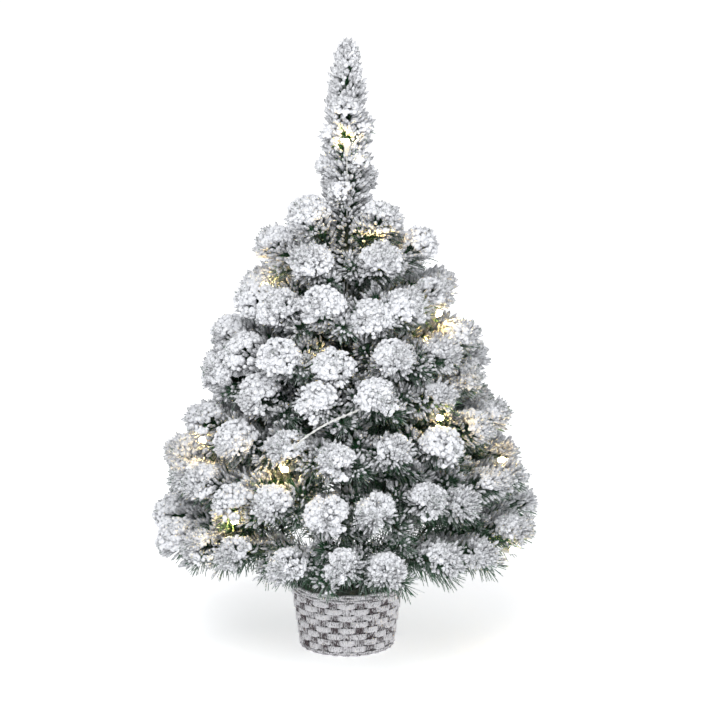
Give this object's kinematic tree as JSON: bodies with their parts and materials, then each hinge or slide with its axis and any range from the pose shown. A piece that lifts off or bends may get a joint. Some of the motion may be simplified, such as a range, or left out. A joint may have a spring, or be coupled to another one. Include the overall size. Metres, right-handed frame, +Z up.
{
  "type": "artificial tabletop tree",
  "caption": "Snow-flocked artificial tree with fold-up branches, a tall leader and small warm-white lamps, standing in a round woven whitewashed basket.",
  "frame": {"origin": "centre of the basket's underside, on the surface that it stands on", "axes": "+Z up along the trunk, -Y to the front, +X to the right seen from the front"},
  "size_m": [0.3656, 0.37, 0.605],
  "materials": {
    "flock": "matt flocked needles",
    "needles": "cut film needles",
    "twig_wire": "tape over twisted wire",
    "plywood": "raw",
    "reed": "whitewashed, worn",
    "whitewashed_reed": "whitewashed",
    "liner": "thin moulded",
    "cement": "cast",
    "pole": "painted steel",
    "trunk_tape": "wound tape",
    "binding_wire": "painted wire",
    "cable": "pale insulated wire",
    "lamp": "clear moulded",
    "lamp_holder": "clear moulded",
    "case": "fine moulded grain",
    "switch": "ribbed",
    "cell": "plain wrap",
    "contact": "nickelled strip"
  },
  "bodies": {
    "tree": {"basket_base": "plywood", "basket_foot": "reed", "basket_stakes": "reed", "basket_bands": "whitewashed_reed", "basket_rim": "reed", "basket_liner": "liner", "ballast": "cement", "trunk_pole": "pole", "trunk_tape": "trunk_tape", "branch_bindings": "binding_wire", "light_cable": "cable", "crown_tips": "flock", "leader": "flock", "crown_lamps": "lamp", "battery_case": "case", "battery_cells": "cell", "battery_contacts": "contact"},
    "tier1_branch_1": {"tier1_branch_1": "flock"},
    "tier1_branch_2": {"tier1_branch_2": "flock", "tier1_lamp_2": "lamp"},
    "tier1_branch_3": {"tier1_branch_3": "flock"},
    "tier1_branch_4": {"tier1_branch_4": "flock", "tier1_lamp_4": "lamp"},
    "tier1_branch_5": {"tier1_branch_5": "flock"},
    "tier2_branch_1": {"tier2_branch_1": "flock", "tier2_lamp_1": "lamp"},
    "tier2_branch_2": {"tier2_branch_2": "flock"},
    "tier2_branch_3": {"tier2_branch_3": "flock", "tier2_lamp_3": "lamp"},
    "tier2_branch_4": {"tier2_branch_4": "flock", "tier2_lamp_4": "lamp"},
    "tier2_branch_5": {"tier2_branch_5": "flock", "tier2_lamp_5": "lamp"},
    "tier3_branch_1": {"tier3_branch_1": "flock", "tier3_lamp_1": "lamp"},
    "tier3_branch_2": {"tier3_branch_2": "flock"},
    "tier3_branch_3": {"tier3_branch_3": "flock"},
    "tier3_branch_4": {"tier3_branch_4": "flock", "tier3_lamp_4": "lamp"},
    "tier3_branch_5": {"tier3_branch_5": "flock", "tier3_lamp_5": "lamp"},
    "tier4_branch_1": {"tier4_branch_1": "flock", "tier4_lamp_1": "lamp"},
    "tier4_branch_2": {"tier4_branch_2": "flock"},
    "tier4_branch_3": {"tier4_branch_3": "flock", "tier4_lamp_3": "lamp"},
    "tier4_branch_4": {"tier4_branch_4": "flock"},
    "tier5_branch_1": {"tier5_branch_1": "flock", "tier5_lamp_1": "lamp"},
    "tier5_branch_2": {"tier5_branch_2": "flock", "tier5_lamp_2": "lamp"},
    "tier5_branch_3": {"tier5_branch_3": "flock"},
    "tier5_branch_4": {"tier5_branch_4": "flock"},
    "tier6_branch_1": {"tier6_branch_1": "flock", "tier6_lamp_1": "lamp"},
    "tier6_branch_2": {"tier6_branch_2": "flock"},
    "tier6_branch_3": {"tier6_branch_3": "flock", "tier6_lamp_3": "lamp"},
    "lid": {"battery_lid": "case"},
    "switch": {"switch_slider": "switch"}
  },
  "joints": [
    {"name": "tier1_branch_1_fold", "type": "hinge", "parent": "tree", "child": "tier1_branch_1", "pos_m": [0.00121, -0.01154, 0.098], "axis": [-0.9945, -0.1045, 0], "range_deg": [-14, 60], "deforming": ["tier1_branch_1"]},
    {"name": "tier1_branch_2_fold", "type": "hinge", "parent": "tree", "child": "tier1_branch_2", "pos_m": [0.01135, -0.00241, 0.098], "axis": [-0.2079, -0.9781, 0], "range_deg": [-14, 60], "deforming": ["tier1_branch_2"]},
    {"name": "tier1_branch_3_fold", "type": "hinge", "parent": "tree", "child": "tier1_branch_3", "pos_m": [0.0058, 0.01005, 0.098], "axis": [0.866, -0.5, 0], "range_deg": [-14, 60], "deforming": ["tier1_branch_3"]},
    {"name": "tier1_branch_4_fold", "type": "hinge", "parent": "tree", "child": "tier1_branch_4", "pos_m": [-0.00776, 0.00862, 0.098], "axis": [0.7431, 0.6691, 0], "range_deg": [-14, 60], "deforming": ["tier1_branch_4"]},
    {"name": "tier1_branch_5_fold", "type": "hinge", "parent": "tree", "child": "tier1_branch_5", "pos_m": [-0.0106, -0.00472, 0.098], "axis": [-0.4067, 0.9135, 0], "range_deg": [-14, 60], "deforming": ["tier1_branch_5"]},
    {"name": "tier2_branch_1_fold", "type": "hinge", "parent": "tree", "child": "tier2_branch_1", "pos_m": [-0.00665, -0.0095, 0.146], "axis": [-0.8192, 0.5736, 0], "range_deg": [-14, 60], "deforming": ["tier2_branch_1"]},
    {"name": "tier2_branch_2_fold", "type": "hinge", "parent": "tree", "child": "tier2_branch_2", "pos_m": [0.00698, -0.00926, 0.146], "axis": [-0.7986, -0.6018, 0], "range_deg": [-14, 60], "deforming": ["tier2_branch_2"]},
    {"name": "tier2_branch_3_fold", "type": "hinge", "parent": "tree", "child": "tier2_branch_3", "pos_m": [0.01097, 0.00378, 0.146], "axis": [0.3256, -0.9455, 0], "range_deg": [-14, 60], "deforming": ["tier2_branch_3"]},
    {"name": "tier2_branch_4_fold", "type": "hinge", "parent": "tree", "child": "tier2_branch_4", "pos_m": [-0.0002, 0.0116, 0.146], "axis": [0.9998, 0.0175, 0], "range_deg": [-14, 60], "deforming": ["tier2_branch_4"]},
    {"name": "tier2_branch_5_fold", "type": "hinge", "parent": "tree", "child": "tier2_branch_5", "pos_m": [-0.01109, 0.00339, 0.146], "axis": [0.2924, 0.9563, 0], "range_deg": [-14, 60], "deforming": ["tier2_branch_5"]},
    {"name": "tier3_branch_1_fold", "type": "hinge", "parent": "tree", "child": "tier3_branch_1", "pos_m": [-0.00061, -0.01158, 0.19], "axis": [-0.9986, 0.0523, 0], "range_deg": [-14, 56], "deforming": ["tier3_branch_1"]},
    {"name": "tier3_branch_2_fold", "type": "hinge", "parent": "tree", "child": "tier3_branch_2", "pos_m": [0.01083, -0.00416, 0.19], "axis": [-0.3584, -0.9336, 0], "range_deg": [-14, 56], "deforming": ["tier3_branch_2"]},
    {"name": "tier3_branch_3_fold", "type": "hinge", "parent": "tree", "child": "tier3_branch_3", "pos_m": [0.0073, 0.00902, 0.19], "axis": [0.7771, -0.6293, 0], "range_deg": [-14, 56], "deforming": ["tier3_branch_3"]},
    {"name": "tier3_branch_4_fold", "type": "hinge", "parent": "tree", "child": "tier3_branch_4", "pos_m": [-0.00632, 0.00973, 0.19], "axis": [0.8387, 0.5446, 0], "range_deg": [-14, 56], "deforming": ["tier3_branch_4"]},
    {"name": "tier3_branch_5_fold", "type": "hinge", "parent": "tree", "child": "tier3_branch_5", "pos_m": [-0.0112, -0.003, 0.19], "axis": [-0.2588, 0.9659, 0], "range_deg": [-14, 56], "deforming": ["tier3_branch_5"]},
    {"name": "tier4_branch_1_fold", "type": "hinge", "parent": "tree", "child": "tier4_branch_1", "pos_m": [0.003, -0.0112, 0.232], "axis": [-0.9659, -0.2588, 0], "range_deg": [-14, 52], "deforming": ["tier4_branch_1"]},
    {"name": "tier4_branch_2_fold", "type": "hinge", "parent": "tree", "child": "tier4_branch_2", "pos_m": [0.0112, 0.003, 0.232], "axis": [0.2588, -0.9659, 0], "range_deg": [-14, 52], "deforming": ["tier4_branch_2"]},
    {"name": "tier4_branch_3_fold", "type": "hinge", "parent": "tree", "child": "tier4_branch_3", "pos_m": [-0.003, 0.0112, 0.232], "axis": [0.9659, 0.2588, 0], "range_deg": [-14, 52], "deforming": ["tier4_branch_3"]},
    {"name": "tier4_branch_4_fold", "type": "hinge", "parent": "tree", "child": "tier4_branch_4", "pos_m": [-0.0112, -0.003, 0.232], "axis": [-0.2588, 0.9659, 0], "range_deg": [-14, 52], "deforming": ["tier4_branch_4"]},
    {"name": "tier5_branch_1_fold", "type": "hinge", "parent": "tree", "child": "tier5_branch_1", "pos_m": [-0.00682, -0.00938, 0.262], "axis": [-0.809, 0.5878, 0], "range_deg": [-14, 48], "deforming": ["tier5_branch_1"]},
    {"name": "tier5_branch_2_fold", "type": "hinge", "parent": "tree", "child": "tier5_branch_2", "pos_m": [0.00938, -0.00682, 0.262], "axis": [-0.5878, -0.809, 0], "range_deg": [-14, 48], "deforming": ["tier5_branch_2"]},
    {"name": "tier5_branch_3_fold", "type": "hinge", "parent": "tree", "child": "tier5_branch_3", "pos_m": [0.00682, 0.00938, 0.262], "axis": [0.809, -0.5878, 0], "range_deg": [-14, 48], "deforming": ["tier5_branch_3"]},
    {"name": "tier5_branch_4_fold", "type": "hinge", "parent": "tree", "child": "tier5_branch_4", "pos_m": [-0.00938, 0.00682, 0.262], "axis": [0.5878, 0.809, 0], "range_deg": [-14, 48], "deforming": ["tier5_branch_4"]},
    {"name": "tier6_branch_1_fold", "type": "hinge", "parent": "tree", "child": "tier6_branch_1", "pos_m": [0.00562, -0.01015, 0.307], "axis": [-0.8746, -0.4848, 0], "range_deg": [-14, 42], "deforming": ["tier6_branch_1"]},
    {"name": "tier6_branch_2_fold", "type": "hinge", "parent": "tree", "child": "tier6_branch_2", "pos_m": [0.00597, 0.00994, 0.307], "axis": [0.8572, -0.515, 0], "range_deg": [-14, 42], "deforming": ["tier6_branch_2"]},
    {"name": "tier6_branch_3_fold", "type": "hinge", "parent": "tree", "child": "tier6_branch_3", "pos_m": [-0.0116, 0.0002, 0.307], "axis": [0.0175, 0.9998, 0], "range_deg": [-14, 42], "deforming": ["tier6_branch_3"]},
    {"name": "battery_lid_hinge", "type": "hinge", "parent": "tree", "child": "lid", "pos_m": [0, 0.02375, 0.05775], "axis": [-1, 0, 0], "range_deg": [0, 52]},
    {"name": "light_switch_slide", "type": "slide", "parent": "tree", "child": "switch", "axis": [1, 0, 0], "range_m": [0, 0.004]}
  ]
}
